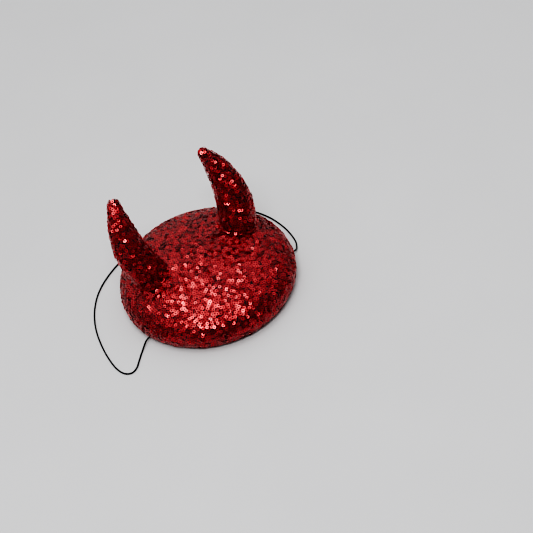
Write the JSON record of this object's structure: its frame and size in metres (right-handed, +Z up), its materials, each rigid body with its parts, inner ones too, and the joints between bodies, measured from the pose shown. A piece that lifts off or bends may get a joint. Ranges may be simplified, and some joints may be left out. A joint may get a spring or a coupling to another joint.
{
  "type": "devil horn fascinator",
  "caption": "Round hollow fascinator base covered in red sequins, with curved stuffed devil horns on top and a thin black elastic loop that holds it on the head.",
  "frame": {"origin": "the middle of the rim's circle, on the surface that the rim rests on", "axes": "+Z up out of the crown, -Y the way the wearer faces, +X the wearer's left"},
  "size_m": [0.1954, 0.159, 0.0943],
  "materials": {
    "sequin_cloth": "cloth closely sewn with small flat glossy red sequins",
    "elastic": "matt braided black round elastic"
  },
  "bodies": {
    "root": {"crown": "sequin_cloth", "horn_right": "sequin_cloth", "horn_left": "sequin_cloth", "elastic_cord": "elastic", "knot_right": "elastic", "knot_left": "elastic"}
  },
  "joints": []
}
